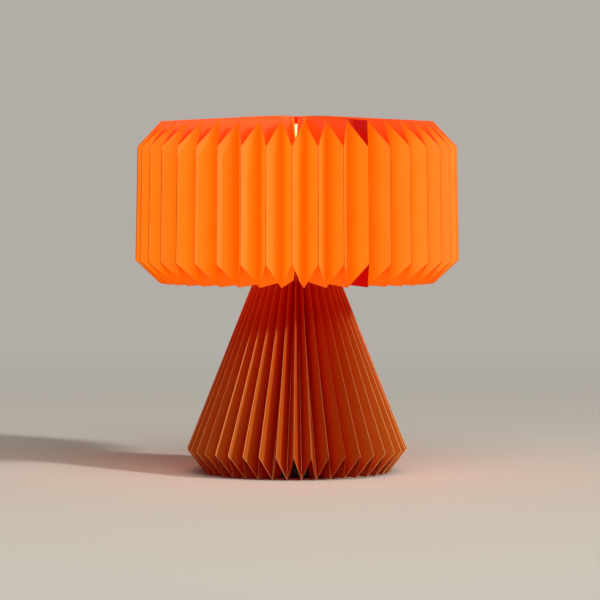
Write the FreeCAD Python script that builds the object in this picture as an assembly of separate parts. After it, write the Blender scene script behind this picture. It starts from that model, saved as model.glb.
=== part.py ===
"""Folding origami table lamp: two pleated paper rings over a cordless light unit.

Millimetres, +Z up, origin on the floor under the middle of the lamp, front towards -Y.
The base paper stands round a battery tray. A stem rises from the tray through the neck and
carries the light head. The shade paper sits on the pleats of the base and lifts off upwards.
Angles are measured from the front, growing towards +X.
"""
import FreeCAD, Part
import math
import os

# Pleats: both papers have the same folds, so the shade nests in the pleats of the base
PLEATS = 40
PLEAT_PHASE = -1.65
PAPER_THICKNESS = 0.3
SHEET_COUNT = 2
SEAM_INDEX = 6
HALF_PITCH = 180.0 / PLEATS

# Base paper, outer side: underside folds, bottom crease, cone and neck
TIP_LIFT = 0.4
BASE_TIP_RADIUS = 86.5
BASE_RIDGE_RADIUS = 103.1
BASE_RIDGE_LIFT = 21.8
UNDERSIDE_RISE = 1.2
NECK_HEIGHT = 203.0
NECK_RADIUS = 31.4
NECK_PLEAT = 21.4

# Shade paper, outer side: flap under the shade, wall, and top with its central hole
SEAT_DROP = 3.0
SEAT_GAP = 0.3
FLAP_RISE = 1.5
FLAP_TIP_RISE = 3.1
FLAP_NEST = 4.4
SHADE_LOW_RADIUS = 151.0
SHADE_HIGH_RADIUS = 149.0
SHADE_WALL = 105.7
RIM_LOW_DROP = 21.6
RIM_LOW_DEPTH = 23.0
RIM_HIGH_RISE = 23.6
RIM_HIGH_DEPTH = 22.3
TOP_HOLE_RADIUS = 27.0
TOP_GROOVE_RISE = 3.3
TOP_TIP_RISE = 5.2

# Battery tray, its lid, feet and screws
TRAY_RADIUS = 57.0
TRAY_WALL = 2.0
TRAY_FLOOR = 2.0
TRAY_PAPER_GAP = 0.4
FOOT_COUNT = 4
FOOT_RADIUS = 6.0
FOOT_HEIGHT = 2.5
FOOT_RECESS = 1.0
FOOT_CIRCLE = 44.0
LID_THICKNESS = 2.0
LID_FLANGE = 9.0
SPIGOT_HEIGHT = 1.5
SPIGOT_WALL = 2.0
BOSS_RADIUS = 4.0
BOSS_CIRCLE = 48.0
BOSS_ANGLES = (60.0, 120.0, 240.0, 300.0)
SCREW_RADIUS = 1.5
SCREW_LENGTH = 12.0
SCREW_HEAD_RADIUS = 2.8
SCREW_HEAD_HEIGHT = 2.0

# What lies in the tray
BALLAST_RADIUS = 51.0
BALLAST_THICKNESS = 3.0
CELL_RADIUS = 9.2
CELL_LENGTH = 65.0
CELL_OFFSET = 21.0
CHOCK_REACH = 10.0
CHOCK_HEIGHT = 6.0
CHOCK_THICKNESS = 4.0
CHOCK_PLACE = 20.0
BOARD_WIDTH = 20.0
BOARD_LENGTH = 54.0
BOARD_THICKNESS = 1.6
COIL_RADIUS = 3.5
COIL_HEIGHT = 4.0
COIL_PLACE = -14.0
CHIP_SIDE = 5.0
CHIP_HEIGHT = 1.0
CHIP_PLACE = 7.0
PLUG_WIDTH = 8.0
PLUG_DEPTH = 4.5
PLUG_HEIGHT = 5.0
PLUG_PLACE = -29.0
POST_RADIUS = 2.0
POST_HEIGHT = 1.5
POST_INSET = 2.5
SOCKET_WIDTH = 8.9
SOCKET_DEPTH = 7.3
SOCKET_HEIGHT = 3.2
SOCKET_RADIUS = 1.5
RECESS_WIDTH = 16.0
RECESS_TOP = 12.5
RECESS_START = 22.0

# Stem, its nuts, the cap on the neck and the wires
STEM_RADIUS = 5.0
STEM_BORE = 3.5
STEM_TAIL = 2.0
NUT_FLATS = 14.0
NUT_HEIGHT = 4.0
WASHER_RADIUS = 11.0
WASHER_THICKNESS = 1.5
CAP_CLEARANCE = 1.5
CAP_CROWN = 0.7
WIRE_RADIUS = 0.6
WIRE_OFFSET = 1.5

# Light head in the hole of the shade's top
HEAD_RADIUS = 15.0
HEAD_DROP = 8.0
HEAD_LENGTH = 20.0
STEM_SOCKET = 12.0
FIN_COUNT = 4
FIN_DEPTH = 4.0
FIN_GAP = 2.0
FIN_PITCH = 4.0
FIN_START = 2.5
LED_BOARD_RADIUS = 12.8
LED_BOARD_THICKNESS = 1.6
LED_BOARD_DROP = 0.9
LED_COUNT = 10
LED_CIRCLE = 9.5
LED_LENGTH = 3.5
LED_WIDTH = 2.8
LED_HEIGHT = 0.8
DIFFUSER_RADIUS = 14.5
DIFFUSER_HEIGHT = 18.5
DIFFUSER_WALL = 1.6
DIFFUSER_SHOULDER = 4.0
GUIDE_WALL = 1.45
GUIDE_LENGTH = 13.0

# Push button on the head, pressed from above
SWITCH_WIDTH = 6.0
SWITCH_HEIGHT = 3.5
PLUNGER_RADIUS = 1.75
PLUNGER_SUNK = 1.0
PRESS_TRAVEL = 1.0
PRESS_GAP = 0.4
BUTTON_RADIUS = 8.5
BUTTON_HEIGHT = 5.6
BUTTON_EDGE = 2.0
BUTTON_STEM = 3.1

# Clearances and the overrun of cuts
RUN_GAP = 0.05
FIT_GAP = 0.15
LOOSE_GAP = 0.3
OVERRUN = 5.0

AXIS = FreeCAD.Vector(0, 0, 1)
CENTRE = FreeCAD.Vector(0, 0, 0)


def around(radius, angle, height):
    """Point at a radius and height, at an angle in degrees from the front."""
    turn = math.radians(angle)
    return FreeCAD.Vector(radius * math.sin(turn), -radius * math.cos(turn), height)


# Paper: each sheet is a path of straight lines in the ridge planes and another in the valley planes
# between them. Points of a path are (radius, height) on the outer side of the paper.
def direction(start, end):
    """Unit direction from one path point to the next."""
    length = math.hypot(end[0] - start[0], end[1] - start[1])
    return (end[0] - start[0]) / length, (end[1] - start[1]) / length


def layer_shift(line, here, opposite):
    """How far one layer of paper moves a fold line sideways in its own plane.

    The panel runs from this fold to the opposite one, half a pitch away. The sharper the fold,
    the further the inner side lies from the outer one.
    """
    turn = math.radians(HALF_PITCH)
    across = (opposite[0] * math.cos(turn) - here[0], opposite[0] * math.sin(turn), opposite[1] - here[1])
    along = across[0] * line[0] + across[2] * line[1]
    width = math.sqrt(sum(part * part for part in across) - along * along)
    return PAPER_THICKNESS * width / across[1]


def layer_steps(path, opposite):
    """Step at each path point that keeps both panels meeting there one paper thick."""
    lines = [direction(path[i], path[i + 1]) for i in range(len(path) - 1)]
    steps = []
    for i, point in enumerate(path):
        before = lines[max(i - 1, 0)]
        after = lines[min(i, len(lines) - 1)]
        inward_before = (-before[1], before[0])
        inward_after = (-after[1], after[0])
        move_before = layer_shift(before, point, opposite[i])
        move_after = layer_shift(after, point, opposite[i])
        if before == after:
            steps.append((move_after * inward_after[0], move_after * inward_after[1]))
            continue
        spread = inward_before[0] * inward_after[1] - inward_before[1] * inward_after[0]
        steps.append((
            (move_before * inward_after[1] - move_after * inward_before[1]) / spread,
            (move_after * inward_before[0] - move_before * inward_after[0]) / spread,
        ))
    return steps


def on_layer(path, opposite, layer):
    """The path moved inwards by a number of paper layers."""
    steps = layer_steps(path, opposite)
    return [(p[0] + layer * s[0], p[1] + layer * s[1]) for p, s in zip(path, steps)]


def panel(corner_a, corner_b, corner_c, corner_d):
    """Two flat triangles for a panel that twists, split from the first corner to the third."""
    halves = ((corner_a, corner_b, corner_c), (corner_a, corner_c, corner_d))
    return [Part.Face(Part.makePolygon([a, b, c, a])) for a, b, c in halves]


def strip(ridge, valley, fold):
    """Panels between one fold and the next, split from the ridge fold to the valley fold."""
    near, far = (ridge, valley) if fold % 2 == 0 else (valley, ridge)
    faces = []
    for i in range(len(near) - 1):
        if fold % 2 == 0:
            faces += panel(near[i], near[i + 1], far[i + 1], far[i])
        else:
            faces += panel(far[i], near[i], near[i + 1], far[i + 1])
    return faces


def pleated_sheet(ridge, valley, first, last, layer=0):
    """Closed solid of the panels from the first fold plane to the last, on one layer of paper."""
    sides = []
    for depth in (layer, layer + 1):
        folds = {}
        for fold in range(first, last + 1):
            path, opposite = (ridge, valley) if fold % 2 == 0 else (valley, ridge)
            angle = PLEAT_PHASE + HALF_PITCH * fold
            folds[fold] = [around(r, angle, z) for r, z in on_layer(path, opposite, depth)]
        sides.append(folds)
    outer, inner = sides
    faces = []
    for fold in range(first, last):
        for side in sides:
            pair = (side[fold], side[fold + 1])
            faces += strip(*(pair if fold % 2 == 0 else pair[::-1]), fold)
        for end in (0, -1):
            faces += panel(outer[fold][end], outer[fold + 1][end], inner[fold + 1][end], inner[fold][end])
    for fold in (first, last):
        for i in range(len(ridge) - 1):
            faces += panel(outer[fold][i], outer[fold][i + 1], inner[fold][i + 1], inner[fold][i])
    solid = Part.Solid(Part.Shell(faces))
    return solid if solid.Volume > 0 else solid.reversed()


def pleated_ring(name, ridge, valley):
    """The sheets that close a ring, and the spare end panel of each, glued behind the next one."""
    per_sheet = 2 * PLEATS // SHEET_COUNT
    nodes = {}
    for number, (side, seam) in enumerate((("right", "front"), ("left", "back"))):
        first = SEAM_INDEX + number * per_sheet
        nodes[f"{name}_sheet_{side}"] = pleated_sheet(ridge, valley, first, first + per_sheet)
        nodes[f"{name}_lap_{seam}"] = pleated_sheet(ridge, valley, first, first + 1, layer=1)
    return nodes


# Heights and radii that pieces share
UNDERSIDE_RADIUS = TRAY_RADIUS + TRAY_PAPER_GAP
BASE_CREASE = TIP_LIFT + BASE_RIDGE_LIFT
NECK_LINE = direction((BASE_RIDGE_RADIUS, BASE_CREASE), (NECK_RADIUS, NECK_HEIGHT))
NECK_SLOPE = -NECK_LINE[0] / NECK_LINE[1]
NECK_VALLEY = (NECK_RADIUS - NECK_PLEAT * NECK_LINE[1], NECK_HEIGHT + NECK_PLEAT * NECK_LINE[0])

BASE_RIDGE = [
    (UNDERSIDE_RADIUS, BASE_CREASE + UNDERSIDE_RISE),
    (BASE_RIDGE_RADIUS, BASE_CREASE),
    (NECK_RADIUS, NECK_HEIGHT),
]
BASE_VALLEY = [
    (UNDERSIDE_RADIUS, TIP_LIFT + UNDERSIDE_RISE),
    (BASE_TIP_RADIUS, TIP_LIFT),
    NECK_VALLEY,
]

SEAT_HEIGHT = NECK_HEIGHT - SEAT_DROP
SEAT_RADIUS = NECK_RADIUS + SEAT_DROP * NECK_SLOPE + SEAT_GAP / NECK_LINE[1]
SHADE_CREASE_LOW = SEAT_HEIGHT - FLAP_RISE
SHADE_CREASE_HIGH = SHADE_CREASE_LOW + SHADE_WALL
SHADE_TIP_LOW = SHADE_CREASE_LOW - RIM_LOW_DROP
SHADE_TIP_HIGH = SHADE_CREASE_HIGH + RIM_HIGH_RISE
NEST_RADIUS = SEAT_RADIUS - FLAP_NEST
SHADE_TOP = SHADE_TIP_HIGH + TOP_TIP_RISE

SHADE_RIDGE = [
    (SEAT_RADIUS, SEAT_HEIGHT),
    (SHADE_LOW_RADIUS, SHADE_CREASE_LOW),
    (SHADE_HIGH_RADIUS, SHADE_CREASE_HIGH),
    (TOP_HOLE_RADIUS, SHADE_CREASE_HIGH + TOP_GROOVE_RISE),
]
SHADE_VALLEY = [
    (NEST_RADIUS, SHADE_TIP_LOW + FLAP_TIP_RISE),
    (SHADE_LOW_RADIUS - RIM_LOW_DEPTH, SHADE_TIP_LOW),
    (SHADE_HIGH_RADIUS - RIM_HIGH_DEPTH, SHADE_TIP_HIGH),
    (TOP_HOLE_RADIUS, SHADE_TOP),
]

TRAY_BASE = FOOT_HEIGHT - FOOT_RECESS
TRAY_INSIDE = TRAY_BASE + TRAY_FLOOR
BALLAST_TOP = TRAY_INSIDE + BALLAST_THICKNESS
CELL_CENTRE = BALLAST_TOP + RUN_GAP + CELL_RADIUS
PAPER_TOP = on_layer(BASE_RIDGE, BASE_VALLEY, 1)[0][1]
LID_BASE = max(PAPER_TOP + LOOSE_GAP, CELL_CENTRE + CELL_RADIUS + FIT_GAP)
LID_TOP = LID_BASE + LID_THICKNESS
BOARD_BASE = TRAY_INSIDE + POST_HEIGHT
BOARD_TOP = BOARD_BASE + BOARD_THICKNESS
RECESS_WALL = RECESS_START - TRAY_WALL
BOARD_END = RECESS_WALL - LOOSE_GAP

DIFFUSER_TOP = SHADE_TOP - HEAD_DROP
HEAD_TOP = DIFFUSER_TOP - DIFFUSER_HEIGHT
LED_BOARD_TOP = HEAD_TOP - LED_BOARD_DROP
HEAD_FLOOR = LED_BOARD_TOP - LED_BOARD_THICKNESS
HEAD_BASE = HEAD_FLOOR - HEAD_LENGTH
STEM_TOP = HEAD_BASE + STEM_SOCKET
SWITCH_TOP = LED_BOARD_TOP + SWITCH_HEIGHT
PLUNGER_TOP = SWITCH_TOP + PRESS_TRAVEL + LOOSE_GAP
BUTTON_BASE = DIFFUSER_TOP + PRESS_TRAVEL + PRESS_GAP


# Helpers for rigid pieces
def turned(points):
    """Solid of revolution about the lamp's axis from (radius, height) points."""
    corners = [FreeCAD.Vector(r, 0, z) for r, z in points]
    return Part.Face(Part.makePolygon(corners + corners[:1])).revolve(CENTRE, AXIS, 360)


def rod(radius, low, high, x=0, y=0):
    """Upright round rod between two heights."""
    return Part.makeCylinder(radius, high - low, FreeCAD.Vector(x, y, low), AXIS)


def block(low, high):
    """Upright block between two opposite corners."""
    size = [b - a for a, b in zip(low, high)]
    return Part.makeBox(*size, FreeCAD.Vector(*low))


def hex_nut(low):
    """Hexagon nut on the stem."""
    reach = NUT_FLATS / 2 / math.cos(math.radians(30))
    corners = [around(reach, 60 * side, low) for side in range(7)]
    body = Part.Face(Part.makePolygon(corners)).extrude(FreeCAD.Vector(0, 0, NUT_HEIGHT))
    return body.cut(rod(STEM_RADIUS + RUN_GAP, low - OVERRUN, low + NUT_HEIGHT + OVERRUN))


def ring_of(radius, angles):
    """(x, y) places on a circle about the axis."""
    places = [around(radius, angle, 0) for angle in angles]
    return [(place.x, place.y) for place in places]


BOSS_PLACES = ring_of(BOSS_CIRCLE, BOSS_ANGLES)
FOOT_PLACES = ring_of(FOOT_CIRCLE, [360 / FOOT_COUNT * (i + 0.5) for i in range(FOOT_COUNT)])


# Battery tray
def base_tray():
    """Round cup with screw bosses, board posts, foot recesses and a rear recess for the charging plug."""
    inside = TRAY_RADIUS - TRAY_WALL
    cup = rod(TRAY_RADIUS, TRAY_BASE, LID_BASE).cut(rod(inside, TRAY_INSIDE, LID_BASE + OVERRUN))
    half = RECESS_WIDTH / 2
    hood = block(
        (-half - TRAY_WALL, RECESS_WALL, TRAY_BASE),
        (half + TRAY_WALL, TRAY_RADIUS, RECESS_TOP + TRAY_WALL),
    ).common(rod(TRAY_RADIUS, TRAY_BASE, LID_BASE))
    bosses = [rod(BOSS_RADIUS, TRAY_BASE, LID_BASE, x, y) for x, y in BOSS_PLACES]
    post_x = BOARD_WIDTH / 2 - POST_INSET
    post_rows = (BOARD_END - POST_INSET, BOARD_END - BOARD_LENGTH + POST_INSET)
    posts = [rod(POST_RADIUS, TRAY_BASE, BOARD_BASE, x, y) for x in (-post_x, post_x) for y in post_rows]
    tray = cup.multiFuse([hood] + bosses + posts)
    recess = block((-half, RECESS_START, TRAY_BASE - OVERRUN), (half, TRAY_RADIUS + OVERRUN, RECESS_TOP))
    mouth_half = SOCKET_WIDTH / 2 + FIT_GAP
    mouth = block(
        (-mouth_half, RECESS_WALL - OVERRUN, BOARD_TOP - FIT_GAP),
        (mouth_half, RECESS_START, BOARD_TOP + SOCKET_HEIGHT + FIT_GAP),
    )
    pilots = [
        rod(SCREW_RADIUS + RUN_GAP, LID_TOP - SCREW_LENGTH - FIT_GAP, LID_BASE + OVERRUN, x, y)
        for x, y in BOSS_PLACES
    ]
    feet = [rod(FOOT_RADIUS + RUN_GAP, TRAY_BASE - OVERRUN, FOOT_HEIGHT, x, y) for x, y in FOOT_PLACES]
    for tool in [recess, mouth] + pilots + feet:
        tray = tray.cut(tool)
    return tray


def tray_lid():
    """Flat lid whose flange reaches over the folds of the base paper, with a spigot in the tray."""
    spigot = TRAY_RADIUS - TRAY_WALL - FIT_GAP
    lid = turned([
        (STEM_RADIUS + FIT_GAP, LID_BASE),
        (spigot - SPIGOT_WALL, LID_BASE),
        (spigot - SPIGOT_WALL, LID_BASE - SPIGOT_HEIGHT),
        (spigot, LID_BASE - SPIGOT_HEIGHT),
        (spigot, LID_BASE),
        (TRAY_RADIUS + LID_FLANGE, LID_BASE),
        (TRAY_RADIUS + LID_FLANGE, LID_TOP),
        (STEM_RADIUS + FIT_GAP, LID_TOP),
    ])
    for x, y in BOSS_PLACES:
        lid = lid.cut(rod(SCREW_RADIUS + FIT_GAP, LID_BASE - OVERRUN, LID_TOP + OVERRUN, x, y))
    return lid


def lid_screws():
    """Pan-head screws from the lid into the bosses."""
    screws = []
    for x, y in BOSS_PLACES:
        head = rod(SCREW_HEAD_RADIUS, LID_TOP, LID_TOP + SCREW_HEAD_HEIGHT, x, y)
        screws.append(head.fuse(rod(SCREW_RADIUS, LID_TOP - SCREW_LENGTH, LID_TOP, x, y)))
    return Part.makeCompound(screws)


def rubber_feet():
    """Feet in their recesses under the tray."""
    return Part.makeCompound([rod(FOOT_RADIUS, 0, FOOT_HEIGHT, x, y) for x, y in FOOT_PLACES])


def ballast_plate():
    """Steel plate on the tray's floor, slotted for the board and the plug recess."""
    plate = rod(BALLAST_RADIUS, TRAY_INSIDE, BALLAST_TOP)
    half = RECESS_WIDTH / 2 + TRAY_WALL + LOOSE_GAP
    half = max(half, BOARD_WIDTH / 2 + LOOSE_GAP)
    slot = block(
        (-half, BOARD_END - BOARD_LENGTH - LOOSE_GAP, TRAY_BASE),
        (half, TRAY_RADIUS, BALLAST_TOP + OVERRUN),
    )
    plate = plate.cut(slot)
    for x, y in BOSS_PLACES:
        plate = plate.cut(rod(BOSS_RADIUS + LOOSE_GAP, TRAY_BASE, BALLAST_TOP + OVERRUN, x, y))
    return plate


def battery_cells():
    """Two round cells that lie front to back on the ballast."""
    along = FreeCAD.Vector(0, 1, 0)
    cells = []
    for x in (-CELL_OFFSET, CELL_OFFSET):
        start = FreeCAD.Vector(x, -CELL_LENGTH / 2, CELL_CENTRE)
        cells.append(Part.makeCylinder(CELL_RADIUS, CELL_LENGTH, start, along))
    return Part.makeCompound(cells)


def cell_chocks():
    """Chocks on the ballast that keep the cells from rolling, two pairs to a cell."""
    along = FreeCAD.Vector(0, 1, 0)
    chocks = []
    for x in (-CELL_OFFSET, CELL_OFFSET):
        for y in (-CHOCK_PLACE, CHOCK_PLACE):
            near = y - CHOCK_THICKNESS / 2
            hollow = Part.makeCylinder(
                CELL_RADIUS + FIT_GAP, CHOCK_THICKNESS, FreeCAD.Vector(x, near, CELL_CENTRE), along)
            for low, high in ((x - CHOCK_REACH, x), (x, x + CHOCK_REACH)):
                chock = block((low, near, BALLAST_TOP), (high, near + CHOCK_THICKNESS, BALLAST_TOP + CHOCK_HEIGHT))
                chocks.append(chock.cut(hollow))
    return Part.makeCompound(chocks)


def charge_board():
    """Circuit board on the tray's posts."""
    half = BOARD_WIDTH / 2
    return block((-half, BOARD_END - BOARD_LENGTH, BOARD_BASE), (half, BOARD_END, BOARD_TOP))


def board_parts():
    """Coil, charging chip and battery plug on the board."""
    coil = rod(COIL_RADIUS, BOARD_TOP, BOARD_TOP + COIL_HEIGHT, 0, COIL_PLACE)
    flat_parts = [
        block((-wide / 2, y - deep / 2, BOARD_TOP), (wide / 2, y + deep / 2, BOARD_TOP + tall))
        for wide, deep, tall, y in (
            (CHIP_SIDE, CHIP_SIDE, CHIP_HEIGHT, CHIP_PLACE),
            (PLUG_WIDTH, PLUG_DEPTH, PLUG_HEIGHT, PLUG_PLACE),
        )
    ]
    return Part.makeCompound([coil] + flat_parts)


def usb_socket():
    """Charging socket on the board, its mouth in the wall of the recess."""
    half = SOCKET_WIDTH / 2
    end = RECESS_START - LOOSE_GAP
    body = block((-half, end - SOCKET_DEPTH, BOARD_TOP), (half, end, BOARD_TOP + SOCKET_HEIGHT))
    long_edges = [e for e in body.Edges if abs(e.tangentAt(e.FirstParameter).y) > 0.5]
    return body.makeFillet(SOCKET_RADIUS, long_edges)


# Stem and neck
def stem_tube():
    """Tube from the tray's lid to the light head."""
    low = LID_BASE - NUT_HEIGHT - STEM_TAIL
    return rod(STEM_RADIUS, low, STEM_TOP).cut(rod(STEM_BORE, low - OVERRUN, STEM_TOP + OVERRUN))


def stem_washer():
    """Washer between the lid and the upper nut."""
    disc = rod(WASHER_RADIUS, LID_TOP, LID_TOP + WASHER_THICKNESS)
    return disc.cut(rod(STEM_RADIUS + FIT_GAP, LID_TOP - OVERRUN, LID_TOP + OVERRUN))


def stem_nuts():
    """Nuts that clamp the lid on the stem, one below and one above."""
    return Part.makeCompound([hex_nut(LID_BASE - NUT_HEIGHT), hex_nut(LID_TOP + WASHER_THICKNESS)])


CAP_TOP = NECK_HEIGHT + SEAT_GAP + CAP_CROWN


def neck_cap():
    """Conical plug that holds the paper of the neck down, narrow enough for the shade to pass."""
    rim = NEST_RADIUS - CAP_CLEARANCE
    hole = STEM_RADIUS + FIT_GAP
    heights = [NECK_HEIGHT + SEAT_GAP / NECK_LINE[1] - (NECK_RADIUS - r) * NECK_SLOPE for r in (hole, rim)]
    return turned([(hole, heights[0]), (rim, heights[1]), (rim, CAP_TOP), (hole, CAP_TOP)])


def neck_nut():
    """Nut that clamps the neck cap."""
    return hex_nut(CAP_TOP)


def lamp_wires():
    """Two wires inside the stem, from the charge board to the light head."""
    return Part.makeCompound([rod(WIRE_RADIUS, BOARD_TOP, HEAD_FLOOR, x) for x in (-WIRE_OFFSET, WIRE_OFFSET)])


# Light head
def heat_sink():
    """Finned cup screwed on the stem, with a pocket for the LED board."""
    pocket = LED_BOARD_RADIUS + FIT_GAP
    cup = turned([
        (STEM_RADIUS + RUN_GAP, HEAD_BASE),
        (HEAD_RADIUS, HEAD_BASE),
        (HEAD_RADIUS, HEAD_TOP),
        (pocket, HEAD_TOP),
        (pocket, HEAD_FLOOR),
        (STEM_BORE, HEAD_FLOOR),
        (STEM_BORE, STEM_TOP),
        (STEM_RADIUS + RUN_GAP, STEM_TOP),
    ])
    for fin in range(FIN_COUNT):
        low = HEAD_BASE + FIN_START + FIN_PITCH * fin
        groove = rod(HEAD_RADIUS + OVERRUN, low, low + FIN_GAP)
        cup = cup.cut(groove.cut(rod(HEAD_RADIUS - FIN_DEPTH, low - OVERRUN, low + OVERRUN)))
    return cup


def led_board():
    """Round board in the pocket of the heat sink."""
    return rod(LED_BOARD_RADIUS, HEAD_FLOOR, LED_BOARD_TOP)


def led_chips():
    """Ring of LEDs on the board."""
    chips = []
    for i in range(LED_COUNT):
        chip = block(
            (LED_CIRCLE - LED_WIDTH / 2, -LED_LENGTH / 2, LED_BOARD_TOP),
            (LED_CIRCLE + LED_WIDTH / 2, LED_LENGTH / 2, LED_BOARD_TOP + LED_HEIGHT),
        )
        chip.rotate(CENTRE, AXIS, 360 / LED_COUNT * i)
        chips.append(chip)
    return Part.makeCompound(chips)


def diffuser():
    """Opal cover over the LEDs, with a guide in its middle for the button."""
    guide = BUTTON_STEM + RUN_GAP
    inside = DIFFUSER_TOP - DIFFUSER_WALL
    cover = turned([
        (DIFFUSER_RADIUS, HEAD_TOP),
        (DIFFUSER_RADIUS, DIFFUSER_TOP),
        (guide, DIFFUSER_TOP),
        (guide, DIFFUSER_TOP - GUIDE_LENGTH),
        (guide + GUIDE_WALL, DIFFUSER_TOP - GUIDE_LENGTH),
        (guide + GUIDE_WALL, inside),
        (DIFFUSER_RADIUS - DIFFUSER_WALL, inside),
        (DIFFUSER_RADIUS - DIFFUSER_WALL, HEAD_TOP),
    ])
    return round_edge(cover, DIFFUSER_RADIUS, DIFFUSER_TOP, DIFFUSER_SHOULDER)


def round_edge(shape, radius, height, size):
    """Fillet the circular edge of a turned piece at one radius and height."""
    edges = [
        e for e in shape.Edges
        if hasattr(e.Curve, "Radius") and abs(e.Curve.Radius - radius) < RUN_GAP
        and abs(e.BoundBox.ZMin - height) < RUN_GAP and abs(e.BoundBox.ZMax - height) < RUN_GAP
    ]
    return shape.makeFillet(size, edges)


# Push button
def switch_body():
    """Push switch on the LED board, with a bore for its plunger."""
    half = SWITCH_WIDTH / 2
    body = block((-half, -half, LED_BOARD_TOP), (half, half, SWITCH_TOP))
    depth = PLUNGER_SUNK + PRESS_TRAVEL + FIT_GAP
    return body.cut(rod(PLUNGER_RADIUS + RUN_GAP, SWITCH_TOP - depth, SWITCH_TOP + OVERRUN))


def switch_plunger():
    """Plunger that the button pushes into the switch."""
    return rod(PLUNGER_RADIUS, SWITCH_TOP - PLUNGER_SUNK, PLUNGER_TOP)


def button():
    """Round cap on a stem that runs in the diffuser's guide."""
    top = BUTTON_BASE + BUTTON_HEIGHT
    cap = round_edge(rod(BUTTON_RADIUS, BUTTON_BASE, top), BUTTON_RADIUS, top, BUTTON_EDGE)
    return cap.fuse(rod(BUTTON_STEM, PLUNGER_TOP, BUTTON_BASE))


RIGID_PIECES = (
    base_tray, tray_lid, lid_screws, rubber_feet, ballast_plate, battery_cells, cell_chocks, charge_board,
    board_parts, usb_socket, stem_tube, stem_washer, stem_nuts, neck_cap, neck_nut, lamp_wires,
    heat_sink, led_board, led_chips, diffuser, switch_body, switch_plunger, button,
)


def main():
    """Build every node and write it to parts/."""
    os.makedirs("parts", exist_ok=True)
    nodes = pleated_ring("shade", SHADE_RIDGE, SHADE_VALLEY)
    nodes.update(pleated_ring("base", BASE_RIDGE, BASE_VALLEY))
    nodes.update({piece.__name__: piece() for piece in RIGID_PIECES})
    for name, shape in nodes.items():
        shape.exportStep(f"parts/{name}.step")
        print(f"{name}: {len(shape.Solids)} solids, {shape.Volume / 1000:.2f} cm3, valid {shape.isValid()}")


main()
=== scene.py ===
"""Folding origami table lamp: pleated paper shade and base round a cordless light unit.

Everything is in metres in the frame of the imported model: +Z up, front towards -Y, floor at zero.
The paper is built here as softly folded sheets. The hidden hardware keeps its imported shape.
"""
import bpy
import math
import numpy as np
from bpy.props import FloatProperty, FloatVectorProperty, IntProperty, PointerProperty
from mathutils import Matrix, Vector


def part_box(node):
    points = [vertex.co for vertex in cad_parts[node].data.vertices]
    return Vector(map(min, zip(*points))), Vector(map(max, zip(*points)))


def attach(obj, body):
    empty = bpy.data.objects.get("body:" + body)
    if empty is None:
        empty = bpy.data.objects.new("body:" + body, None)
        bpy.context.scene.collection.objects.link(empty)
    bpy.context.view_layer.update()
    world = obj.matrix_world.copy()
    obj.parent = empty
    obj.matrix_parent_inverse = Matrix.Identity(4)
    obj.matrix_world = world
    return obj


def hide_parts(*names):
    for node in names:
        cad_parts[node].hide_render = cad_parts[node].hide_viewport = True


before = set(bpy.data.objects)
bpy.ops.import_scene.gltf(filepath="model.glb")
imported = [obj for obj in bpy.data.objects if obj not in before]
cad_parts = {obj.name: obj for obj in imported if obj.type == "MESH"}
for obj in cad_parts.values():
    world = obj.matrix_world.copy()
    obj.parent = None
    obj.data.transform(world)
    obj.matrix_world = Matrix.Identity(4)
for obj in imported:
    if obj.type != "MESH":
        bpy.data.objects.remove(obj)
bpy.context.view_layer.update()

bl_info = {
    "name": "Origami Lamp",
    "version": (1, 0, 0),
    "blender": (4, 5, 0),
    "location": "View3D > Sidebar > Lamp",
    "description": "Builds a table lamp of pleated, reverse-folded paper",
    "category": "Object",
}

# How far a paper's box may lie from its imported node's box.
SIZE_ALLOWANCE = 0.002
SHARP_ANGLE = math.radians(40)

# Each ring is cut into sheets. The two sides of a sheet and the back of the lap behind it are three layers.
SHEETS = 2
LAYERS = 3
# Shares of the way across a panel, and round a soft fold, at which a sheet has points.
PANEL_SHARES = np.array([0.0, 0.02, 0.35, 0.65, 0.98, 1.0])
CREASE_SHARES = np.array([0.25, 0.5, 0.75])
# A fold is fully marked, the paper beside it less, and along a path the mark ends within a short reach. The
# mark is pale wear with a painted highlight on the base, painted shade on the shade, and less glow on both.
EDGE_WEAR = 0.8
PANEL_WEAR = np.array([EDGE_WEAR, 0.0, 0.0, 0.0, 0.0, EDGE_WEAR])
WORN_REACH = 0.0005
# Even divisions of each stretch of a path: flap, wall and top of the shade, underside and cone of the base.
SHADE_STEPS = (10, 6, 10)
BASE_STEPS = (5, 14)
# Places along a path are counted in stretches. The wall or the cone runs from the first corner to the second.
WALL_START, WALL_END = 1.0, 2.0
# Pairs of such a place and a share there: how much of the full glow the paper gets.
SHADE_FACING = (
    (0.0, 0.5), (0.997, 0.5), (1.003, 1.0), (1.997, 1.0), (2.003, 0.0), (2.8, 0.1), (3.0, 0.8))
BASE_FACING = ((1.0, 0.45), (1.25, 0.52), (1.6, 0.70), (2.0, 0.90))
# The same for the top's inner end, by the light head.
HEAD_NEAR = ((2.80, 0.0), (3.0, 1.0))
# The second layer at a seam is lit through near the light head, so it shows less there.
SEAM_SHOWN = ((2.25, 1.0), (2.45, 0.0))
# Least and most glow of a panel against the others.
PANEL_UNEVEN = (0.90, 1.06)
# Sine of the angle under which two lines of a path count as one.
STRAIGHT = 1e-6


def length(name, description, default):
    """A length property in metres."""
    return FloatProperty(name=name, description=description, default=default, unit="LENGTH", precision=4)


def fold_point(name, description, radius, height):
    """A property that holds the radius and height of a fold's end."""
    return FloatVectorProperty(
        name=name, description=description, size=2, default=(radius, height), unit="LENGTH", precision=4)


def colour(name, description, red, green, blue):
    """A colour property, linear."""
    return FloatVectorProperty(
        name=name, description=description, size=3, default=(red, green, blue), subtype="COLOR",
        min=0.0, max=1.0)


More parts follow.
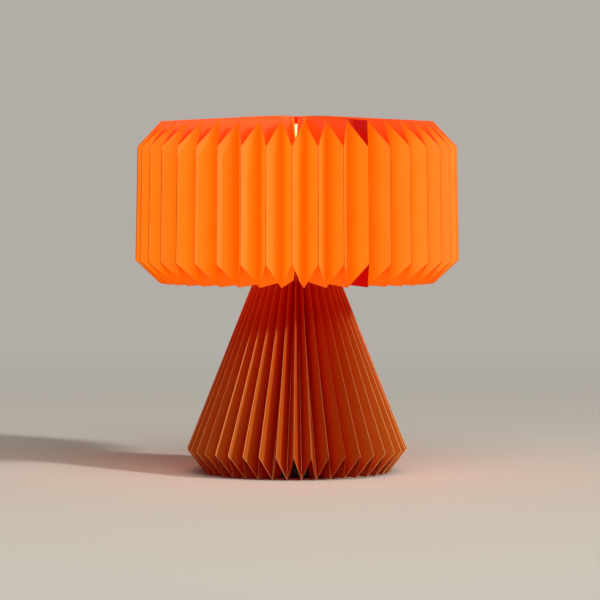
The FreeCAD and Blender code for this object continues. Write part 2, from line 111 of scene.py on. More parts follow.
class LampPaper(bpy.types.PropertyGroup):
    """Folds of the two papers, on their outer side."""

    pleats: IntProperty(name="Pleats", description="Pleats in each ring", default=40, min=8)
    phase: FloatProperty(
        name="Phase", description="Turn of the first ridge from the front", default=math.radians(-1.65),
        subtype="ANGLE")
    seam_fold: IntProperty(name="Seam fold", description="Fold at which the first sheet starts", default=6)
    thickness: length("Thickness", "Thickness of the paper", 0.0003)
    softness: length("Fold softness", "How far from a fold the paper starts to bend", 0.0007)

    seat: fold_point("Seat", "Inner end of the flap's upper folds, on the cone", 0.032912, 0.2000)
    rim_low: fold_point("Lower rim", "Lower end of the wall's ridges", 0.1510, 0.1985)
    rim_high: fold_point("Upper rim", "Upper end of the wall's ridges", 0.1490, 0.3042)
    hole_low: fold_point("Groove at the hole", "Inner end of the top's grooves", 0.0270, 0.3075)
    nest: fold_point("Nest", "Inner end of the flap's lower folds", 0.028512, 0.1800)
    point_low: fold_point("Lower points", "Points of the lower rim", 0.1280, 0.1769)
    point_high: fold_point("Upper points", "Points of the upper rim", 0.1267, 0.3278)
    hole_high: fold_point("Crest at the hole", "Inner end of the top's crests", 0.0270, 0.3330)

    tuck: fold_point("Tuck", "Inner end of the underside's upper folds", 0.0574, 0.0234)
    foot_ridge: fold_point("Foot ridge", "Lower end of the cone's ridges", 0.1031, 0.0222)
    neck_ridge: fold_point("Neck ridge", "Upper end of the cone's ridges", 0.0314, 0.2030)
    tuck_low: fold_point("Lower tuck", "Inner end of the underside's lower folds", 0.0574, 0.0016)
    foot_point: fold_point("Foot points", "Points that stand by the floor", 0.0865, 0.0004)
    neck_valley: fold_point("Neck valley", "Upper end of the cone's valleys", 0.011507, 0.195111)


class LampFinish(bpy.types.PropertyGroup):
    """Colours of the paper and of the light."""

    paper: colour("Paper", "Dyed paper under plain light", 0.43, 0.097, 0.007)
    # Painted sheen: the same paper as the base's, given more blue on the shade so that it shows a pinkish
    # sheen where the key light strikes.
    shade_paper: colour(
        "Shade's paper", "The shade's paper under plain light, paler when lit", 0.43, 0.092, 0.028)
    # Painted shade: the paper's colour made deeper red down in its grooves, for light bounced to and fro
    # there.
    groove_shade_paper: colour(
        "Deep paper", "The same paper down in its grooves, where light goes to and fro", 0.40, 0.018, 0.0)
    # Pale folds of the base: rubbed wear, and a painted highlight along each fold.
    edge: colour("Fold edge", "Paper rubbed pale along the folds", 0.86, 0.42, 0.16)
    # Painted shade: the shade's folds are darker than its paper, for the dark lines along its ridges.
    painted_fold_shade: colour(
        "Shade's fold edge", "Folds of the shade, rubbed less than the base's", 0.32, 0.085, 0.025)
    glow: colour("Glow", "Light through the wall at its ridges", 0.95, 0.184, 0.003)
    deep_glow: colour("Deep glow", "Light through the wall down in its grooves", 0.92, 0.116, 0.0)
    dim_glow: colour("Dim glow", "Light through the top and the flap, which it meets flat", 0.80, 0.040, 0.0)
    near_glow: colour("Near glow", "Light through the top's grooves by the light head", 1.0, 0.46, 0.06)
    seam_glow: colour("Seam glow", "Light through two layers of paper", 0.56, 0.0, 0.0)
    base_glow: colour("Base glow", "Light that leaks down into the neck of the base", 0.175, 0.0, 0.0)
    base_deep_glow: colour("Base deep glow", "The same light down in the grooves of the base", 0.08, 0.0, 0.0)
    light: colour("Light", "Light of the middle of the lit diffuser", 1.0, 0.82, 0.36)
    rim_light: colour("Rim light", "Light of the diffuser's rims", 0.62, 0.18, 0.004)
    button_glow: colour("Button glow", "Light through the red button", 0.62, 0.0, 0.0)
    brightness: FloatProperty(
        name="Brightness", description="Strength of the lit diffuser", default=1.3, min=0.0)


class LampStage(bpy.types.PropertyGroup):
    """Camera and studio light."""

    target: FloatVectorProperty(
        name="Target", description="Point in the middle of the picture", size=3, default=(0.0028, 0.0, 0.161),
        subtype="XYZ", unit="LENGTH")
    eye_height: length("Eye height", "Height of the camera", 0.304)
    distance: length("Distance", "Distance of the camera in front of the lamp", 3.30)
    lens: FloatProperty(name="Lens", description="Focal length in millimetres", default=212.5, min=20.0)
    backdrop: colour("Backdrop", "Pale colour behind the lamp", 0.45, 0.42, 0.385)
    floor: colour("Floor", "Colour of the floor", 0.80, 0.78, 0.75)
    floor_bounce: colour("Floor bounce", "Colour of the light that the floor throws back", 0.20, 0.19, 0.18)
    ambient: FloatProperty(name="Ambient", description="Strength of the light from all round", default=0.07)
    key: FloatProperty(name="Key", description="Strength of the low light from the right", default=2.0)
    fill: FloatProperty(name="Fill", description="Power of the soft light from the front", default=48.0)


class LampSettings(bpy.types.PropertyGroup):
    """All settings of the lamp."""

    paper: PointerProperty(type=LampPaper)
    finish: PointerProperty(type=LampFinish)
    stage: PointerProperty(type=LampStage)


# Shader maths
class Value:
    """A shader socket that takes part in Python sums: each operator adds a Math node."""

    def __init__(self, nodes, socket):
        self.nodes = nodes
        self.socket = socket

    def maths(self, operation, *terms):
        """A Math node's result for values or numbers."""
        return self.nodes.node("ShaderNodeMath", {"operation": operation}, dict(enumerate(terms)))

    def __add__(self, other):
        return self.maths("ADD", self, other)

    def __radd__(self, other):
        return self.maths("ADD", other, self)

    def __sub__(self, other):
        return self.maths("SUBTRACT", self, other)

    def __rsub__(self, other):
        return self.maths("SUBTRACT", other, self)

    def __mul__(self, other):
        return self.maths("MULTIPLY", self, other)

    def __rmul__(self, other):
        return self.maths("MULTIPLY", other, self)

    def clamped(self, low, high):
        """This value from low to high, as a share from 0 to 1 that starts and ends softly."""
        return self.nodes.node(
            "ShaderNodeMapRange", {"interpolation_type": "SMOOTHSTEP", "clamp": True},
            {"Value": self, "From Min": low, "From Max": high})


class Nodes:
    """A node tree under construction."""

    def __init__(self, tree):
        self.tree = tree

    def node(self, kind, settings=None, sockets=None, output=0):
        """Adds a node, sets it up, then fills its sockets with values or links. Gives back one output."""
        node = self.tree.nodes.new(kind)
        for key, value in (settings or {}).items():
            setattr(node, key, value)
        for key, value in (sockets or {}).items():
            self.put(node.inputs[key], value)
        return Value(self, node.outputs[output]) if node.outputs else None

    def put(self, socket, value):
        """Links a value into a socket, or sets the socket to a number or colour."""
        if isinstance(value, Value):
            self.tree.links.new(value.socket, socket)
        else:
            socket.default_value = value

    def seen(self):
        """1 for what the camera sees, straight or in gloss or glass, and 0 for light that goes on."""
        kinds = ("Is Camera Ray", "Is Glossy Ray", "Is Transmission Ray")
        camera, gloss, glass = (self.node("ShaderNodeLightPath", output=kind) for kind in kinds)
        return camera.maths("MAXIMUM", camera.maths("MAXIMUM", camera, gloss), glass)

    def either(self, share, first, second):
        """Shader between two shaders."""
        return self.node("ShaderNodeMixShader", {}, {0: share, 1: first, 2: second})


class Finish(Nodes):
    """A material under construction, with its main shader."""

    def __init__(self, name):
        self.material = bpy.data.materials.new(name)
        self.material.use_nodes = True
        super().__init__(self.material.node_tree)
        self.shader = next(n for n in self.tree.nodes if n.type == "BSDF_PRINCIPLED")
        self.output = next(n for n in self.tree.nodes if n.type == "OUTPUT_MATERIAL")

    def surface(self, **sockets):
        """Fills sockets of the main shader, named with underscores for spaces."""
        for key, value in sockets.items():
            self.put(self.shader.inputs[key.replace("_", " ")], value)

    def place(self):
        """Point on the piece, in metres."""
        return self.node("ShaderNodeTexCoord", output="Object")

    def mapped(self, scale):
        """Point on the piece, stretched by a scale on each axis."""
        sockets = {"Vector": self.place(), "Scale": scale}
        return self.node("ShaderNodeMapping", {"vector_type": "POINT"}, sockets)

    def noise(self, place, scale, detail=3.0, roughness=0.55):
        """Soft noise from 0 to 1, with a number of lumps per metre."""
        sockets = {"Vector": place, "Scale": scale, "Detail": detail, "Roughness": roughness}
        return self.node("ShaderNodeTexNoise", {}, sockets)

    def attribute(self, name):
        """A number stored on the points of the mesh."""
        return self.node("ShaderNodeAttribute", {"attribute_name": name}, output="Fac")

    def mix(self, share, first, second):
        """Colour between two colours."""
        sockets = {0: share, 6: opaque(first), 7: opaque(second)}
        return self.node("ShaderNodeMix", {"data_type": "RGBA"}, sockets, output=2)

    def dimmed(self, tint, factor):
        """A colour times a number."""
        return self.node("ShaderNodeVectorMath", {"operation": "SCALE"}, {0: tint, "Scale": factor})

    def bump(self, height, depth):
        """Normal of a surface raised by a height from 0 to 1, at a depth in metres."""
        return self.node("ShaderNodeBump", {}, {"Height": height, "Distance": depth, "Strength": 1.0})


def opaque(tint):
    """A colour with full alpha, or a linked colour as it is."""
    return tint if isinstance(tint, Value) else (*tint, 1.0)


# Finishes. A scale is lumps to the metre, and a depth is how far a surface stands out.
FIBRE_SCALE = 700.0
FIBRE_DEPTH = 0.00006
CLOUD_SCALE = 55.0
FLOW_SCALE = 45.0
GRAIN_DEPTH = 0.00004
GRAIN_ROUGHNESS = 0.16
MARK_SCALE = 90.0
LINE_DEPTH = 0.00002
METAL_ROUGHNESS = 0.22
PEEL_SCALE = 650.0
PEEL_DEPTH = 0.00008
SOIL_SCALE = 30.0
COAT_ROUGHNESS = 0.42
MILK_SCALE = 320.0
# Wear over which a fold takes its edge colour, pale wear with a painted highlight on the base and painted
# shade on the shade, and depths in a groove over which the glow and the painted groove shade deepen.
WEAR_SHOWS = (0.1, 0.9)
GLOW_DEEPENS = (0.35, 1.0)
GROOVE_SHADE_DEEPENS = (0.05, 0.9)
# Share of its colour that paper loses where it lies double: painted shade, for the seam panel seen only in
# shadowed notches.
SEAM_SHADE_LOSS = 0.95
# Share of the glow that a pressed ridge loses, how much less a groove does, and what of it flat paper loses.
RIDGE_LOSS = 0.85
GROOVE_RELIEF = 0.6
FLAT_LOSS = 0.2
# Specular levels.
SHADE_GLOSS = 0.08
BASE_GLOSS = 0.12
BUTTON_GLOSS = 0.12
PLASTIC_GLOSS = 0.5


def paper_finish(name, tint, groove_shade_tint, edge, glow, gloss):
    """Dyed paper: fibres, cloudy look-through, painted shade deeper down in the grooves, and an edge colour
    on the folds.

    It glows as well: less where the light meets it flat, little at a seam, less along the ridges, where it is
    pressed double, and a little more or less from panel to panel. glow holds five colours: at the ridges, in
    the grooves, where it is dim, at a seam, and by the light head.
    """
    finish = Finish(name)
    place = finish.place()
    fibre = finish.noise(place, FIBRE_SCALE, 4.0, 0.65)
    cloud = finish.noise(place, CLOUD_SCALE, 4.0, 0.6)
    crease, depth, facing, doubled, near, panel = (
        finish.attribute(key) for key in ("crease", "depth", "facing", "doubled", "near", "panel"))
    # Fold mark: pale wear with a painted highlight on the base, painted shade on the shade's darker folds.
    worn = (crease * (0.6 + fibre * 0.6)).clamped(*WEAR_SHOWS)
    # Painted shade: the colour turns deeper red down in the grooves.
    paper_with_groove_shade = finish.mix(depth.clamped(*GROOVE_SHADE_DEEPENS), tint, groove_shade_tint)
    # Fibre and cloud tone, times painted shade that darkens a doubled seam panel.
    shade = (0.86 + fibre * 0.18 + cloud * 0.10) * (1.0 - doubled * SEAM_SHADE_LOSS)
    full, deep, dim, seam, by_head = glow
    through = finish.mix(depth.clamped(*GLOW_DEEPENS), full, deep)
    through = finish.mix(facing, dim, through)
    through = finish.mix(doubled, through, seam)
    through = finish.mix(near * depth, through, by_head)
    loss = (RIDGE_LOSS - depth * GROOVE_RELIEF) * (FLAT_LOSS + facing * (1.0 - FLAT_LOSS))
    lit = (0.86 + cloud * 0.24 + fibre * 0.06) * panel * (1.0 - crease * loss)
    finish.surface(
        Base_Color=finish.dimmed(finish.mix(worn, paper_with_groove_shade, edge), shade),
        Roughness=0.50 + fibre * 0.16,
        Specular_IOR_Level=gloss,
        Normal=finish.bump(fibre, FIBRE_DEPTH),
        Emission_Color=finish.dimmed(through, lit),
        Emission_Strength=1.0,
    )
    return finish.material


def moulded_finish(name, tint, grain, roughness, glow=None, gloss=PLASTIC_GLOSS):
    """Moulded plastic with a fine spark-eroded grain and faint flow clouds. glow lights clear plastic."""
    finish = Finish(name)
    place = finish.place()
    spark = finish.noise(place, grain, 2.0, 0.5)
    flow = finish.noise(place, FLOW_SCALE, 2.0)
    finish.surface(
        Base_Color=finish.dimmed(tint, 0.88 + flow * 0.2 + spark * 0.06),
        Roughness=roughness - GRAIN_ROUGHNESS / 2 + spark * GRAIN_ROUGHNESS,
        Specular_IOR_Level=gloss,
        Normal=finish.bump(spark, GRAIN_DEPTH),
    )
    if glow is not None:
        finish.surface(Emission_Color=finish.dimmed(glow, 0.85 + flow * 0.3), Emission_Strength=1.0)
    return finish.material


def metal_finish(name, tint, brush):
    """Turned or brushed metal: fine lines across the brush direction and dull handling marks."""
    finish = Finish(name)
    lines = finish.noise(finish.mapped(brush), 1.0, 3.0, 0.6)
    marks = finish.noise(finish.place(), MARK_SCALE, 4.0)
    finish.surface(
        Base_Color=finish.dimmed(tint, 0.84 + lines * 0.2 + marks * 0.08),
        Metallic=1.0,
        Roughness=METAL_ROUGHNESS + lines * 0.14 + marks * 0.14,
        Normal=finish.bump(lines, LINE_DEPTH),
    )
    return finish.material


def coated_finish(name, tint):
    """Powder coat: soft orange-peel skin over metal."""
    finish = Finish(name)
    peel = finish.noise(finish.place(), PEEL_SCALE, 2.0, 0.45)
    soil = finish.noise(finish.place(), SOIL_SCALE, 4.0)
    finish.surface(
        Base_Color=finish.dimmed(tint, 0.93 + soil * 0.1),
        Roughness=COAT_ROUGHNESS + soil * 0.12,
        Normal=finish.bump(peel, PEEL_DEPTH),
    )
    return finish.material


def opal_finish(name, tint, tints, low, middle, high):
    """Opal plastic lit from inside: full light round its middle height, warmer towards its rims."""
    finish = Finish(name)
    milk = finish.noise(finish.place(), MILK_SCALE, 3.0)
    height = finish.node("ShaderNodeSeparateXYZ", {}, {0: finish.place()}, output="Z")
    core = height.clamped(low, middle) * (1.0 - height.clamped(middle, high))
    finish.surface(
        Base_Color=finish.dimmed(tint, 0.94 + milk * 0.1),
        Roughness=0.35 + milk * 0.1,
        Emission_Color=finish.dimmed(finish.mix(core, tints.rim_light, tints.light), 0.92 + milk * 0.16),
        Emission_Strength=tints.brightness,
    )
    return finish.material


# Finishes of the light unit: name, colour, grain to the metre, roughness, and the pieces that have it.
MOULDED = (
    ("tray_plastic", (0.035, 0.035, 0.038), 1400.0, 0.50, ("base_tray", "tray_lid", "cell_chocks")),
    ("foot_rubber", (0.02, 0.02, 0.02), 900.0, 0.80, ("rubber_feet",)),
    ("switch_plastic", (0.02, 0.02, 0.02), 1400.0, 0.50, ("board_parts", "switch_body", "switch_plunger")),
    ("cap_plastic", (0.72, 0.69, 0.64), 1100.0, 0.55, ("neck_cap",)),
    ("cell_sleeve", (0.02, 0.12, 0.26), 500.0, 0.28, ("battery_cells",)),
    ("wire_sleeve", (0.50, 0.46, 0.40), 800.0, 0.40, ("lamp_wires",)),
    ("board_resist", (0.012, 0.10, 0.035), 500.0, 0.30, ("charge_board",)),
    ("board_white", (0.80, 0.80, 0.77), 500.0, 0.35, ("led_board",)),
)
LIT_BUTTON = ("button_plastic", (0.42, 0.020, 0.004), 1600.0, 0.42)
# The same for metals, with the lines to the metre on each axis in place of grain and roughness.
TURNED = (60.0, 60.0, 2600.0)
DRAWN = (2600.0, 60.0, 60.0)
METALS = (
    ("plated_steel", (0.66, 0.66, 0.63), TURNED, ("lid_screws", "stem_washer", "stem_nuts", "neck_nut")),
    ("socket_steel", (0.70, 0.70, 0.69), DRAWN, ("usb_socket",)),
    ("turned_aluminium", (0.78, 0.78, 0.77), TURNED, ("heat_sink",)),
)
COATED = (
    ("oxide_black", (0.035, 0.037, 0.04), ("ballast_plate",)),
    ("stem_white", (0.78, 0.77, 0.73), ("stem_tube",)),
)
# The lit pieces, and the height at which the diffuser is brightest, as a share of its own.
OPALS = (
    ("opal_plastic", (0.85, 0.80, 0.68), ("diffuser",)),
    ("led_phosphor", (0.85, 0.60, 0.08), ("led_chips",)),
)
BRIGHTEST = 0.7


def dress(material, names):
    """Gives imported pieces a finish."""
    for name in names:
        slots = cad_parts[name].data.materials
        slots.clear()
        slots.append(material)


# Folded paper
def unit(vectors):
    """Vectors at length one."""
    return vectors / np.linalg.norm(vectors, axis=-1, keepdims=True)


def bent(leave, corner, reach, share):
    """Points of a parabola from one point to another, drawn towards a corner, at shares of the way."""
    return (1 - share) ** 2 * leave + 2 * share * (1 - share) * corner + share ** 2 * reach


def layer_shifts(lines, own, opposite, half_pitch, thickness):
    """How far one layer of paper moves each fold line in its own plane.

    The panel between a fold and the opposite one is as wide as their distance square to the line.
    The shift is the thickness over the sine of the angle between panel and fold plane.
    """
    across = np.stack([
        opposite[:, 0] * math.cos(half_pitch) - own[:, 0],
        opposite[:, 0] * math.sin(half_pitch),
        opposite[:, 1] - own[:, 1],
    ], axis=1)
    along = across[:, 0] * lines[:, 0] + across[:, 2] * lines[:, 1]
    width = np.sqrt((across ** 2).sum(axis=1) - along ** 2)
    return thickness * width / across[:, 1]


def inner_path(own, opposite, half_pitch, thickness):
    """A fold's path on the inner side of the paper: each corner is where its two shifted lines meet."""
    lines = unit(own[1:] - own[:-1])
    before = np.vstack([lines[:1], lines])
    after = np.vstack([lines, lines[-1:]])
    normals = [np.stack([-line[:, 1], line[:, 0]], axis=1) for line in (before, after)]
    shifts = [layer_shifts(line, own, opposite, half_pitch, thickness) for line in (before, after)]
    spread = normals[0][:, 0] * normals[1][:, 1] - normals[0][:, 1] * normals[1][:, 0]
    corner = np.abs(spread) > STRAIGHT
    safe = np.where(corner, spread, 1.0)
    met = np.stack([
        (shifts[0] * normals[1][:, 1] - shifts[1] * normals[0][:, 1]) / safe,
        (shifts[1] * normals[0][:, 0] - shifts[0] * normals[1][:, 0]) / safe,
    ], axis=1)
    return own + np.where(corner[:, None], met, shifts[1][:, None] * normals[1])


def soft_path(points, steps, softness):
    """Points along a path with its corners bent, how worn each is, and how far along it lies.

    Straight stretches are evenly divided. Each corner is a parabola that leaves its lines at the softness,
    and its wear fades out a short reach further on. The way along counts the corners passed, with the share
    of the stretch as its fraction.
    """
    samples = []
    wear = []
    passed = []
    last = len(points) - 2
    for i, count in enumerate(steps):
        line = unit(points[i + 1] - points[i])
        start = points[i] + line * (softness if i > 0 else 0.0)
        end = points[i + 1] - line * (softness if i < last else 0.0)
        reach = WORN_REACH / np.linalg.norm(end - start)
        share = np.concatenate([[0.0], np.linspace(reach, 1.0 - reach, count + 1), [1.0]])
        samples.append(start + (end - start) * share[:, None])
        wear.append(np.concatenate([[EDGE_WEAR * (i > 0)], np.zeros(count + 1), [EDGE_WEAR * (i < last)]]))
        passed.append(i + share)
        if i < last:
            corner = points[i + 1]
            onward = corner + unit(points[i + 2] - corner) * softness
            samples.append(bent(end, corner, onward, CREASE_SHARES[:, None]))
            wear.append(np.ones(len(CREASE_SHARES)))
            passed.append(np.full(len(CREASE_SHARES), i + 1.0))
    return np.vstack(samples), np.concatenate(wear), np.concatenate(passed)


def pleat_columns(folds, softness):
    """Columns of points across the pleats, and how worn each column is.

    Between two folds a column is a share of the way across the flat panel. At a fold the columns follow
    a parabola that leaves both panels at the softness.
    """
    way = unit(folds[1:] - folds[:-1])
    start = folds[:-1] + way * softness
    end = folds[1:] - way * softness
    start[0] = folds[0]
    end[-1] = folds[-1]
    flats = start[:, None] + (end - start)[:, None] * PANEL_SHARES[None, :, None, None]
    bends = bent(end[:-1, None], folds[1:-1, None], start[1:, None], CREASE_SHARES[None, :, None, None])
    rows = folds.shape[1]
    joined = np.concatenate([flats[:-1], bends], axis=1).reshape(-1, rows, 3)
    columns = np.concatenate([joined, flats[-1]])
    pattern = np.concatenate([PANEL_WEAR, np.ones(len(CREASE_SHARES))])
    wear = np.concatenate([np.tile(pattern, len(folds) - 2), PANEL_WEAR])
    return columns, wear


def fold_columns(ridge, valley, folds, half_pitch, phase):
    """Points of each fold: the ridge or valley path turned to the fold's own angle."""
    even = (folds % 2 == 0)[:, None]
    radius = np.where(even, ridge[None, :, 0], valley[None, :, 0])
    height = np.where(even, ridge[None, :, 1], valley[None, :, 1])
    angle = (phase + half_pitch * folds)[:, None]
    return np.stack([radius * np.sin(angle), -radius * np.cos(angle), height], axis=-1)


def shell_faces(columns, rows):
    """Quads of a closed sheet: an outer grid, an inner grid behind it, and the four edges between them."""
    index = np.arange(columns * rows).reshape(columns, rows)
    back = index + columns * rows

    def grid(sheet):
        corners = (sheet[:-1, :-1], sheet[1:, :-1], sheet[1:, 1:], sheet[:-1, 1:])
        return np.stack(corners, axis=-1).reshape(-1, 4)

    def edge(front_line, back_line):
        corners = (front_line[:-1], back_line[:-1], back_line[1:], front_line[1:])
        return np.stack(corners, axis=-1)

    return np.concatenate([
        grid(index),
        grid(back)[:, ::-1],
        edge(index[:, 0], back[:, 0]),
        edge(index[::-1, -1], back[::-1, -1]),
        edge(index[0, ::-1], back[0, ::-1]),
        edge(index[-1], back[-1]),
    ])


def new_piece(name, points, faces, material):
    """A mesh object at the origin from arrays of points and faces, smooth but for its sharp edges."""
    mesh = bpy.data.meshes.new(name)
    mesh.from_pydata(points.tolist(), [], faces.tolist())
    mesh.polygons.foreach_set("use_smooth", np.ones(len(mesh.polygons), dtype=bool))
    mesh.set_sharp_from_angle(angle=SHARP_ANGLE)
    mesh.materials.append(material)
    piece = bpy.data.objects.new(name, mesh)
    bpy.context.scene.collection.objects.link(piece)
    return piece


def store(piece, name, numbers):
    """Keeps a number for each point of a sheet, the same on both sides, for its material to read."""
    layer = piece.data.attributes.new(name, "FLOAT", "POINT")
    layer.data.foreach_set("value", np.tile(numbers.ravel(), 2).astype(np.float32))


class PleatedRing:
    """The fold paths of one paper ring and the way its sheets are cut from it."""

    def __init__(self, settings, ridge, valley, steps, facing):
        self.settings = settings
        self.half_pitch = math.pi / settings.pleats
        self.steps = steps
        self.facing = facing
        ridge, valley = (np.array([tuple(point) for point in path]) for path in (ridge, valley))
        inwards = [
            inner_path(own, opposite, self.half_pitch, settings.thickness) - own
            for own, opposite in ((ridge, valley), (valley, ridge))]
        self.layers = [
            (ridge + inwards[0] * layer, valley + inwards[1] * layer) for layer in range(LAYERS)]

    def side(self, layer, folds):
        """Columns of one side of the paper, how worn it is across and along, and the way along."""
        softness = self.settings.softness
        ridge, along, passed = soft_path(self.layers[layer][0], self.steps, softness)
        valley, _, _ = soft_path(self.layers[layer][1], self.steps, softness)
        lines = fold_columns(ridge, valley, folds, self.half_pitch, self.settings.phase)
        columns, across = pleat_columns(lines, softness)
        return columns, across, along, passed

    def sheet(self, name, first, count, layer, material, doubled):
        """A closed folded sheet of a number of panels, from a fold on.

        doubled is how many panels at its start show the layer behind them. The points keep how worn they
        are, how deep in a groove, how much glow they get, how near the light head they lie, whether they lie
        double, and how bright their panel is. Ridges and grooves change places beyond the wall.
        """
        folds = np.arange(first, first + count + 1)
        outer, across, along, passed = self.side(layer, folds)
        inner = self.side(layer + 1, folds)[0]
        columns, rows = outer.shape[:2]
        points = np.concatenate([outer.reshape(-1, 3), inner.reshape(-1, 3)])
        piece = new_piece(name, points, shell_faces(columns, rows), material)
        store(piece, "crease", np.maximum(across[:, None], along[None, :]))
        for attribute, stops in (("facing", self.facing), ("near", HEAD_NEAR)):
            store(piece, attribute, np.tile(np.interp(passed, *zip(*stops)), columns))
        pattern = np.concatenate([PANEL_SHARES, np.ones(len(CREASE_SHARES))])
        panel = np.minimum(np.arange(columns) // len(pattern), count - 1)
        across_panel = np.tile(pattern, count)[:columns]
        depth = np.where((first + panel) % 2 == 0, across_panel, 1.0 - across_panel)[:, None]
        wall = ((passed >= WALL_START) & (passed <= WALL_END))[None, :]
        store(piece, "depth", np.where(wall, depth, 1.0 - depth))
        store(piece, "doubled", np.outer(panel < doubled, np.interp(passed, *zip(*SEAM_SHOWN))))
        uneven = np.random.default_rng(first).uniform(*PANEL_UNEVEN, count)
        store(piece, "panel", np.repeat(uneven[panel], rows))
        return piece


def lay_ring(ring, name, material, lap_material, body, slots, doubled):
    """Both sheets of a ring and the spare end panel behind each seam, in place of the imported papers.

    doubled is how many panels at the start of a sheet show the second layer behind them.
    """
    panels = 2 * ring.settings.pleats // SHEETS
    for number, (side, seam) in enumerate((("right", "front"), ("left", "back"))):
        first = ring.settings.seam_fold + number * panels
        sheet = ring.sheet(f"{name}_paper_{side}", first, panels, 0, material, doubled)
        lap = ring.sheet(f"{name}_seam_{seam}", first, 1, 1, lap_material, doubled)
        pairs = ((sheet, f"{name}_sheet_{side}", slots[0]), (lap, f"{name}_lap_{seam}", slots[1]))
        for piece, node, slot in pairs:
            check_size(piece, node)
            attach(piece, body)
            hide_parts(node)


def check_size(piece, node):
    """Stops if a paper isn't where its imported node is."""
    low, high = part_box(node)
    points = np.empty(len(piece.data.vertices) * 3)
    piece.data.vertices.foreach_get("co", points)
    points = points.reshape(-1, 3)
    apart = max(np.abs(points.min(axis=0) - low).max(), np.abs(points.max(axis=0) - high).max())
    if apart > SIZE_ALLOWANCE:
        raise RuntimeError(f"{piece.name} lies {apart * 1000:.1f} mm from {node}")


# Operators
class LAMP_OT_shade(bpy.types.Operator):
    """Fold the shade: flap, wall and top in each sheet"""

    bl_idname = "lamp.shade"
    bl_label = "Fold Shade"

    def execute(self, context):
        lamp = context.scene.origami_lamp
        paper = lamp.paper
        tints = lamp.finish
        ring = PleatedRing(
            paper,
            (paper.seat, paper.rim_low, paper.rim_high, paper.hole_low),
            (paper.nest, paper.point_low, paper.point_high, paper.hole_high),
            SHADE_STEPS,
            SHADE_FACING,
        )
        papers = (tints.shade_paper, tints.groove_shade_paper, tints.painted_fold_shade)
        glow = (tints.glow, tints.deep_glow, tints.dim_glow, tints.seam_glow, tints.near_glow)
        lit = paper_finish("lit_paper", *papers, glow, SHADE_GLOSS)
        seam = paper_finish("lit_seam_paper", *papers, (tints.seam_glow,) * len(glow), SHADE_GLOSS)
        lay_ring(ring, "shade", lit, seam, "shade", ("shade_paper", "seam_paper"), 1)
        return {"FINISHED"}


class LAMP_OT_base(bpy.types.Operator):
    """Fold the base: underside folds and cone in each sheet"""

    bl_idname = "lamp.base"
    bl_label = "Fold Base"

    def execute(self, context):
        lamp = context.scene.origami_lamp
        paper = lamp.paper
        tints = lamp.finish
        ring = PleatedRing(
            paper,
            (paper.tuck, paper.foot_ridge, paper.neck_ridge),
            (paper.tuck_low, paper.foot_point, paper.neck_valley),
            BASE_STEPS,
            BASE_FACING,
        )
        dark = (0.0, 0.0, 0.0)
        glow = (tints.base_glow, tints.base_deep_glow, dark, dark, dark)
        paper_with_groove_shade = paper_finish("base_paper_with_painted_light", tints.paper, tints.groove_shade_paper, tints.edge, glow, BASE_GLOSS)
        lay_ring(ring, "base", paper_with_groove_shade, paper_with_groove_shade, "base", ("base_paper", "base_paper"), 0)
        return {"FINISHED"}


class LAMP_OT_light_unit(bpy.types.Operator):
    """Finish the tray, stem, light head and button"""

    bl_idname = "lamp.light_unit"
    bl_label = "Finish Light Unit"

    def execute(self, context):
        tints = context.scene.origami_lamp.finish
        for *finish, names in MOULDED:
            dress(moulded_finish(*finish), names)
        for *finish, names in METALS:
            dress(metal_finish(*finish), names)
        for *finish, names in COATED:
            dress(coated_finish(*finish), names)
        dress(moulded_finish(*LIT_BUTTON, tints.button_glow, BUTTON_GLOSS), ("button",))
        low, high = (corner[2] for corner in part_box("diffuser"))
        middle = low + BRIGHTEST * (high - low)
        for *finish, names in OPALS:
            dress(opal_finish(*finish, tints, low, middle, high), names)
        return {"FINISHED"}


class LAMP_OT_stage(bpy.types.Operator):
    """Set up the floor, studio light and camera"""

    bl_idname = "lamp.stage"
    bl_label = "Set Stage"

    def execute(self, context):
        scene = context.scene
        stage = scene.origami_lamp.stage
        lay_floor(stage)
        light_world(scene, stage)
        light_lamp(scene, stage)
        aim_camera(scene, stage)
        scene.view_settings.view_transform = "Standard"
        return {"FINISHED"}


# Stage
FLOOR_REACH = 9.0
FLOOR_CORNERS = np.array([[-1.0, -1.0, 0.0], [1.0, -1.0, 0.0], [1.0, 1.0, 0.0], [-1.0, 1.0, 0.0]])
# Distances from the middle between which the floor fades.
FLOOR_FADE = (0.35, 2.2)
FLOOR_ROUGHNESS = 0.85
AMBIENT_TINT = (1.0, 0.98, 0.95)
# The key light's degrees to the right of the front, degrees up, and width in degrees.
KEY_AZIMUTH, KEY_ELEVATION, KEY_SPREAD = 52.0, 25.0, 5.0
KEY_TINT = (1.0, 0.97, 0.90)
FILL_PLACE = (0.45, -2.06, 2.3)
FILL_AIM = (0.0, 0.0, 0.12)
FILL_SIDE = 2.6
FILL_TINT = (1.0, 0.93, 0.76)
SENSOR_WIDTH = 36.0


def lay_floor(stage):
    """A square floor, faded into the backdrop far from the lamp by its distance from the middle."""
    finish = Finish("floor")
    tint = finish.mix(finish.seen(), stage.floor_bounce, stage.floor)
    finish.surface(Base_Color=tint, Roughness=FLOOR_ROUGHNESS)
    away = finish.node("ShaderNodeVectorMath", {"operation": "LENGTH"}, {0: finish.place()}, output="Value")
    shown = 1.0 - away.clamped(*FLOOR_FADE)
    clear = finish.node("ShaderNodeBsdfTransparent")
    solid = Value(finish, finish.shader.outputs[0])
    finish.put(finish.output.inputs["Surface"], finish.either(shown, clear, solid))
    new_piece("floor", FLOOR_CORNERS * FLOOR_REACH, np.array([[0, 1, 2, 3]]), finish.material)


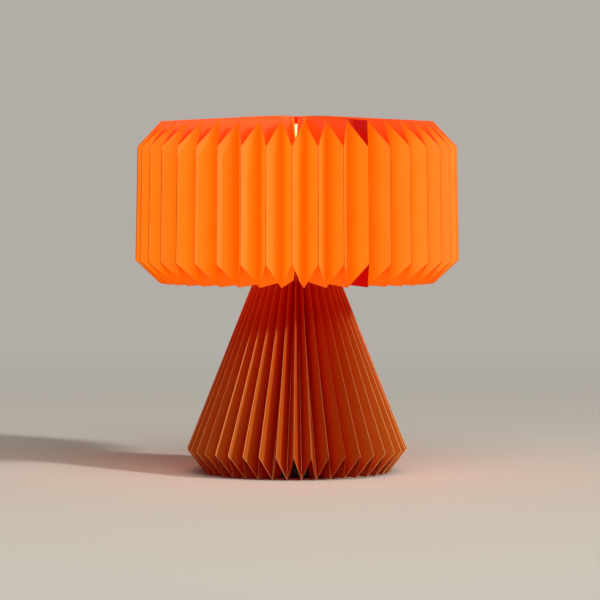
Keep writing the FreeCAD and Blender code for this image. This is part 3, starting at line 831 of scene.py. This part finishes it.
def light_world(scene, stage):
    """Even light from all round. What the camera, gloss and glass see of it is the pale backdrop."""
    world = bpy.data.worlds.new("studio")
    world.use_nodes = True
    world.node_tree.nodes.clear()
    nodes = Nodes(world.node_tree)
    around = nodes.node(
        "ShaderNodeBackground", {}, {"Color": opaque(AMBIENT_TINT), "Strength": stage.ambient})
    behind = nodes.node("ShaderNodeBackground", {}, {"Color": opaque(stage.backdrop)})
    nodes.node("ShaderNodeOutputWorld", {}, {"Surface": nodes.either(nodes.seen(), around, behind)})
    scene.world = world


def hang_light(scene, name, kind, energy, tint, turn):
    """A light of a kind, turned by three angles. Gives back its object."""
    light = bpy.data.lights.new(name, kind)
    light.energy = energy
    light.color = tint
    holder = bpy.data.objects.new(name, light)
    holder.rotation_euler = turn
    scene.collection.objects.link(holder)
    return holder


def light_lamp(scene, stage):
    """A distant key light from the right, and a square soft light high in front, turned to the base."""
    turn = (math.radians(90.0 - KEY_ELEVATION), 0.0, math.radians(KEY_AZIMUTH))
    key = hang_light(scene, "key_light", "SUN", stage.key, KEY_TINT, turn)
    key.data.angle = math.radians(KEY_SPREAD)
    right, back, up = np.array(FILL_PLACE) - np.array(FILL_AIM)
    turn = (math.atan2(math.hypot(right, back), up), 0.0, math.atan2(right, -back))
    fill = hang_light(scene, "fill_light", "AREA", stage.fill, FILL_TINT, turn)
    fill.location = FILL_PLACE
    fill.data.size = FILL_SIDE


def aim_camera(scene, stage):
    """A camera straight in front of the target, turned down to it."""
    camera = bpy.data.cameras.new("camera")
    camera.lens = stage.lens
    camera.sensor_width = SENSOR_WIDTH
    eye = bpy.data.objects.new("camera", camera)
    eye.location = (stage.target[0], -stage.distance, stage.eye_height)
    drop = math.atan2(stage.eye_height - stage.target[2], stage.distance)
    eye.rotation_euler = (math.pi / 2 - drop, 0.0, 0.0)
    scene.collection.objects.link(eye)
    scene.camera = eye


class LAMP_PT_panel(bpy.types.Panel):
    """Sidebar panel that lists the steps and settings"""

    bl_idname = "LAMP_PT_panel"
    bl_label = "Origami Lamp"
    bl_space_type = "VIEW_3D"
    bl_region_type = "UI"
    bl_category = "Lamp"

    def draw(self, context):
        lamp = context.scene.origami_lamp
        for step in STEPS:
            self.layout.operator(step.bl_idname)
        for group in (lamp.paper, lamp.finish, lamp.stage):
            box = self.layout.box()
            for key in group.__annotations__:
                box.prop(group, key)


STEPS = (LAMP_OT_shade, LAMP_OT_base, LAMP_OT_light_unit, LAMP_OT_stage)
CLASSES = (LampPaper, LampFinish, LampStage, LampSettings, *STEPS, LAMP_PT_panel)


def register():
    """Register the classes and the scene's settings."""
    for cls in CLASSES:
        bpy.utils.register_class(cls)
    bpy.types.Scene.origami_lamp = PointerProperty(type=LampSettings)


def unregister():
    """Take the settings and classes away again."""
    del bpy.types.Scene.origami_lamp
    for cls in reversed(CLASSES):
        bpy.utils.unregister_class(cls)


def main():
    """Build the lamp and its stage."""
    register()
    bpy.ops.lamp.shade()
    bpy.ops.lamp.base()
    bpy.ops.lamp.light_unit()
    bpy.ops.lamp.stage()


if __name__ == "__main__":
    main()
